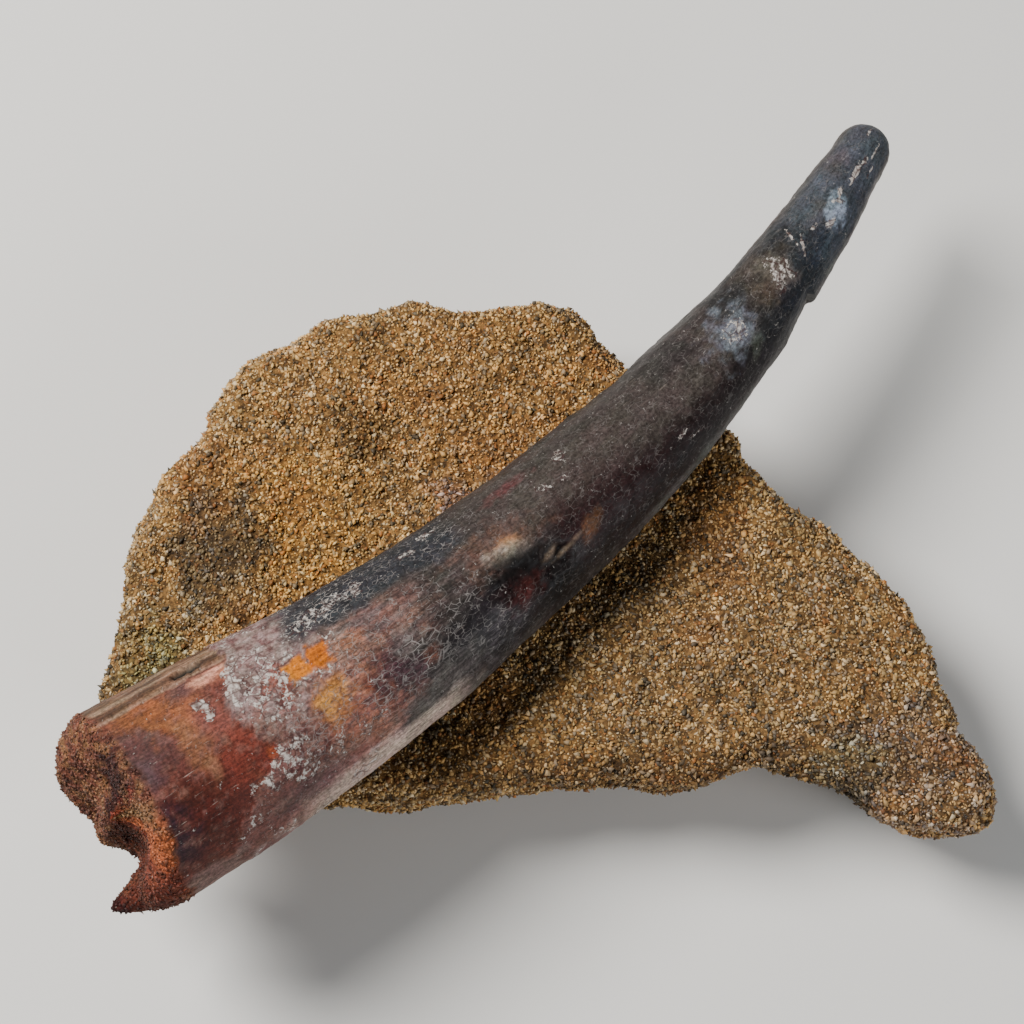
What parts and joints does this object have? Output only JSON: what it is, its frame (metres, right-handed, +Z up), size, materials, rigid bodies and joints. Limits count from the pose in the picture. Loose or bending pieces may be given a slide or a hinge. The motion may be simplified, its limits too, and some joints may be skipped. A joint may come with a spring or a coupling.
{
  "type": "fossil spinosaurus tooth on its sandstone matrix",
  "caption": "Long, gently curved conical reptile tooth with a broken root end, lying in a shallow hollow on a flat, ragged slab of coarse sandstone.",
  "frame": {"origin": "middle of the flat bedding patch that the slab rests on", "axes": "+Z up; +X along the slab's length, towards its narrow tail; +Y towards the tooth's tip, away from someone who looks down on it"},
  "size_m": [0.1144, 0.1023, 0.041],
  "materials": {
    "fossil_dentine_and_enamel": "mineralised, satin to semi-gloss, red-brown root and slate-grey crown with a pale crackle",
    "coarse_sandstone": "rough and granular, golden brown quartz grains with dark pores"
  },
  "bodies": {
    "root": {"tooth": "fossil_dentine_and_enamel", "sandstone_slab": "coarse_sandstone"}
  },
  "joints": []
}
